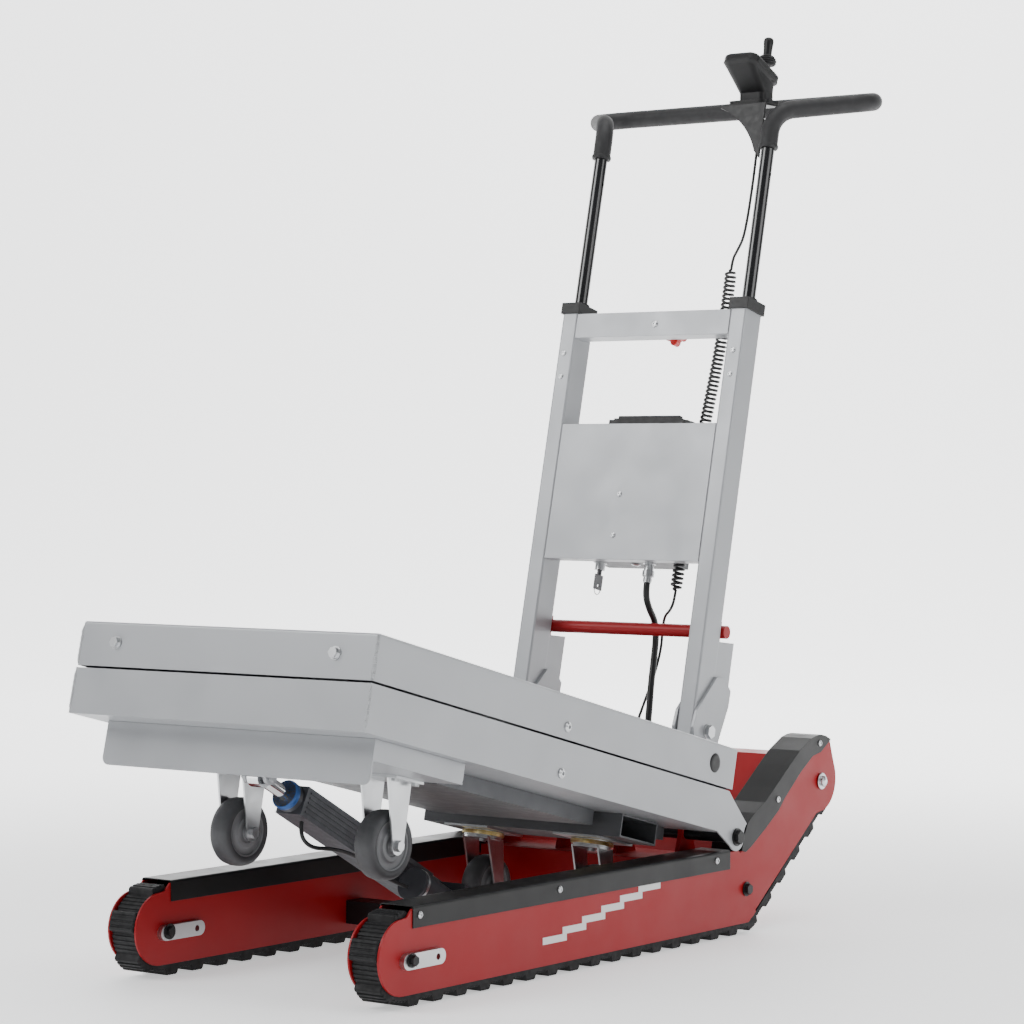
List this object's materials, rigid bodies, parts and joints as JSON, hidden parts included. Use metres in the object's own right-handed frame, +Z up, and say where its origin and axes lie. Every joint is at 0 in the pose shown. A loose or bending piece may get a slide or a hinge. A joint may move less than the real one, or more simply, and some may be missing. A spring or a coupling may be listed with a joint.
{
  "type": "motorised tracked stair climber with load platform",
  "caption": "Motorised tracked stair climber: rubber belts, tilting load platform on casters, folding mast, telescoping handle with joystick.",
  "frame": {"origin": "middle of the bounding box in X and Y, on the ground that the tracks stand on", "axes": "+X to the left of an operator standing at the handle, -Y towards the front of the tracks, +Z up"},
  "size_m": [0.5672, 1.4073, 1.4622],
  "materials": {
    "silver_paint": "fine metallic grey powder coat, satin",
    "red_paint": "satin red powder coat",
    "black_paint": "semi-gloss black sheet",
    "zinc": "bright zinc plate",
    "black_steel": "black oxide",
    "belt_rubber": "moulded ribbed rubber",
    "wheel_rubber": "grey elastic rubber tread on a grey hub",
    "pulley_plastic": "moulded nylon",
    "actuator_grey": "dark grey extruded housing",
    "chrome": "polished rod",
    "black_tube": "gloss black tube",
    "grip_rubber": "matte black grip sleeve",
    "black_plastic": "fine-textured black ABS",
    "box_paint": "dark grey box",
    "knob_red": "red moulded knob",
    "cable_black": "black cable jacket",
    "steel_dark": "machined steel"
  },
  "bodies": {
    "chassis": {"left_outer_plate": "red_paint", "right_outer_plate": "red_paint", "inner_side_plates": "red_paint", "left_front_cover": "black_paint", "right_front_cover": "black_paint", "left_rear_cover": "black_paint", "right_rear_cover": "black_paint", "left_belt": "belt_rubber", "right_belt": "belt_rubber", "center_housing": "red_paint", "drive_motors": "steel_dark", "cross_beam": "black_paint", "cover_screws": "zinc", "tensioner_bars": "zinc", "axle_bolts": "black_steel", "pivot_shaft": "black_steel"},
    "platform": {"deck_tray": "silver_paint", "lower_tray": "silver_paint", "caster_carrier": "silver_paint", "belly_box": "box_paint", "cross_channel": "box_paint", "caster_mounts": "zinc", "platform_bolts": "zinc", "fold_brackets": "silver_paint", "power_cable": "cable_black", "joystick_lead_lower": "cable_black"},
    "mast": {"left_upright": "silver_paint", "right_upright": "silver_paint", "top_crossbar": "silver_paint", "front_panel": "silver_paint", "control_box": "box_paint", "battery_pack": "black_plastic", "mast_fittings": "zinc", "upright_caps": "black_plastic", "joystick_curl": "cable_black"},
    "handle": {"handle_tubes": "black_tube", "handle_grip": "grip_rubber", "joystick_bracket": "black_plastic", "joystick_pod": "black_plastic", "joystick_lead_upper": "cable_black"},
    "joystick_gimbal": {"joystick_gimbal": "steel_dark"},
    "joystick_stick": {"joystick_stick": "black_plastic"},
    "key": {"key": "zinc"},
    "stop_knob": {"stop_knob": "knob_red"},
    "release_bar": {"release_bar": "red_paint"},
    "actuator": {"actuator_body": "actuator_grey", "actuator_cable": "cable_black"},
    "actuator_rod": {"actuator_rod": "chrome"},
    "left_rear_fork": {"left_rear_fork": "zinc"},
    "right_rear_fork": {"right_rear_fork": "zinc"},
    "left_front_wheel": {"left_front_wheel": "wheel_rubber"},
    "right_front_wheel": {"right_front_wheel": "wheel_rubber"},
    "left_rear_wheel": {"left_rear_wheel": "wheel_rubber"},
    "right_rear_wheel": {"right_rear_wheel": "wheel_rubber"},
    "left_front_pulley": {"left_front_pulley": "pulley_plastic"},
    "right_front_pulley": {"right_front_pulley": "pulley_plastic"},
    "left_bend_pulley": {"left_bend_pulley": "pulley_plastic"},
    "right_bend_pulley": {"right_bend_pulley": "pulley_plastic"},
    "left_top_roller": {"left_top_roller": "pulley_plastic"},
    "right_top_roller": {"right_top_roller": "pulley_plastic"}
  },
  "joints": [
    {"name": "platform_tilt", "type": "hinge", "parent": "chassis", "child": "platform", "pos_m": [0, 0.2328, 0.1608], "axis": [1, 0, 0], "range_deg": [0, 12.3]},
    {"name": "mast_fold", "type": "hinge", "parent": "platform", "child": "mast", "pos_m": [0, 0.27534, 0.31887], "axis": [1, 0, 0], "range_deg": [0, 75], "deforming": ["power_cable", "joystick_lead_lower"]},
    {"name": "handle_slide", "type": "slide", "parent": "mast", "child": "handle", "axis": [0, 0.2261, 0.9741], "range_m": [-0.18, 0], "deforming": ["joystick_curl", "joystick_lead_upper"]},
    {"name": "joystick_pitch", "type": "hinge", "parent": "handle", "child": "joystick_gimbal", "pos_m": [0.122, 0.5478, 1.40122], "axis": [1, 0, 0], "range_deg": [-18, 18], "stiffness_Nm_per_rad": 0.6},
    {"name": "joystick_roll", "type": "hinge", "parent": "joystick_gimbal", "child": "joystick_stick", "pos_m": [0.122, 0.5478, 1.40122], "axis": [0, 0.9848, -0.1736], "range_deg": [-18, 18], "stiffness_Nm_per_rad": 0.6},
    {"name": "key_turn", "type": "hinge", "parent": "mast", "child": "key", "pos_m": [-0.062, 0.33324, 0.56823], "axis": [0, 0.2261, 0.9741], "range_deg": [0, 90]},
    {"name": "stop_press", "type": "slide", "parent": "mast", "child": "stop_knob", "axis": [0, 0.9741, -0.2261], "range_m": [-0.004, 0], "stiffness_N_per_m": 3000, "springref_m": 0.002},
    {"name": "release_lift", "type": "slide", "parent": "mast", "child": "release_bar", "axis": [0, 0.2261, 0.9741], "range_m": [0, 0.014], "stiffness_N_per_m": 1200, "springref_m": -0.015},
    {"name": "actuator_swing", "type": "hinge", "parent": "chassis", "child": "actuator", "pos_m": [0, -0.1862, 0.084], "axis": [1, 0, 0], "range_deg": [0, 22.42]},
    {"name": "actuator_stroke", "type": "slide", "parent": "actuator", "child": "actuator_rod", "axis": [0, -0.8866, 0.4626], "range_m": [-0.0437, 0]},
    {"name": "left_front_wheel_spin", "type": "hinge", "parent": "platform", "child": "left_front_wheel", "pos_m": [0.1331, -0.49167, 0.20555], "axis": [1, 0, 0], "continuous": true},
    {"name": "left_rear_swivel", "type": "hinge", "parent": "platform", "child": "left_rear_fork", "pos_m": [0.105, 0.06508, 0.13334], "axis": [0, 0.2304, 0.9731], "continuous": true},
    {"name": "left_rear_wheel_spin", "type": "hinge", "parent": "left_rear_fork", "child": "left_rear_wheel", "pos_m": [0.105, 0.07896, 0.07045], "axis": [1, 0, 0], "continuous": true},
    {"name": "left_drive_roller_spin", "type": "hinge", "parent": "chassis", "child": "left_top_roller", "pos_m": [0, 0.5306, 0.225], "axis": [1, 0, 0], "continuous": true},
    {"name": "left_front_pulley_spin", "type": "hinge", "parent": "chassis", "child": "left_front_pulley", "pos_m": [0, -0.5837, 0.066], "axis": [1, 0, 0], "continuous": true},
    {"name": "left_bend_pulley_spin", "type": "hinge", "parent": "chassis", "child": "left_bend_pulley", "pos_m": [0, 0.2973, 0.071], "axis": [1, 0, 0], "continuous": true},
    {"name": "right_front_wheel_spin", "type": "hinge", "parent": "platform", "child": "right_front_wheel", "pos_m": [-0.1331, -0.49167, 0.20555], "axis": [1, 0, 0], "continuous": true},
    {"name": "right_rear_swivel", "type": "hinge", "parent": "platform", "child": "right_rear_fork", "pos_m": [-0.105, 0.06508, 0.13334], "axis": [0, 0.2304, 0.9731], "continuous": true},
    {"name": "right_rear_wheel_spin", "type": "hinge", "parent": "right_rear_fork", "child": "right_rear_wheel", "pos_m": [-0.105, 0.07896, 0.07045], "axis": [1, 0, 0], "continuous": true},
    {"name": "right_drive_roller_spin", "type": "hinge", "parent": "chassis", "child": "right_top_roller", "pos_m": [0, 0.5306, 0.225], "axis": [1, 0, 0], "continuous": true},
    {"name": "right_front_pulley_spin", "type": "hinge", "parent": "chassis", "child": "right_front_pulley", "pos_m": [0, -0.5837, 0.066], "axis": [1, 0, 0], "continuous": true},
    {"name": "right_bend_pulley_spin", "type": "hinge", "parent": "chassis", "child": "right_bend_pulley", "pos_m": [0, 0.2973, 0.071], "axis": [1, 0, 0], "continuous": true}
  ],
  "couplings": [
    {"joint": "actuator_swing", "follows": "platform_tilt", "ratio": 1.8186},
    {"joint": "actuator_stroke", "follows": "platform_tilt", "m_per_rad": -0.20262},
    {"joint": "left_front_pulley_spin", "follows": "left_drive_roller_spin", "ratio": 0.7551},
    {"joint": "left_bend_pulley_spin", "follows": "left_drive_roller_spin", "ratio": 0.85057},
    {"joint": "right_front_pulley_spin", "follows": "right_drive_roller_spin", "ratio": 0.7551},
    {"joint": "right_bend_pulley_spin", "follows": "right_drive_roller_spin", "ratio": 0.85057}
  ]
}
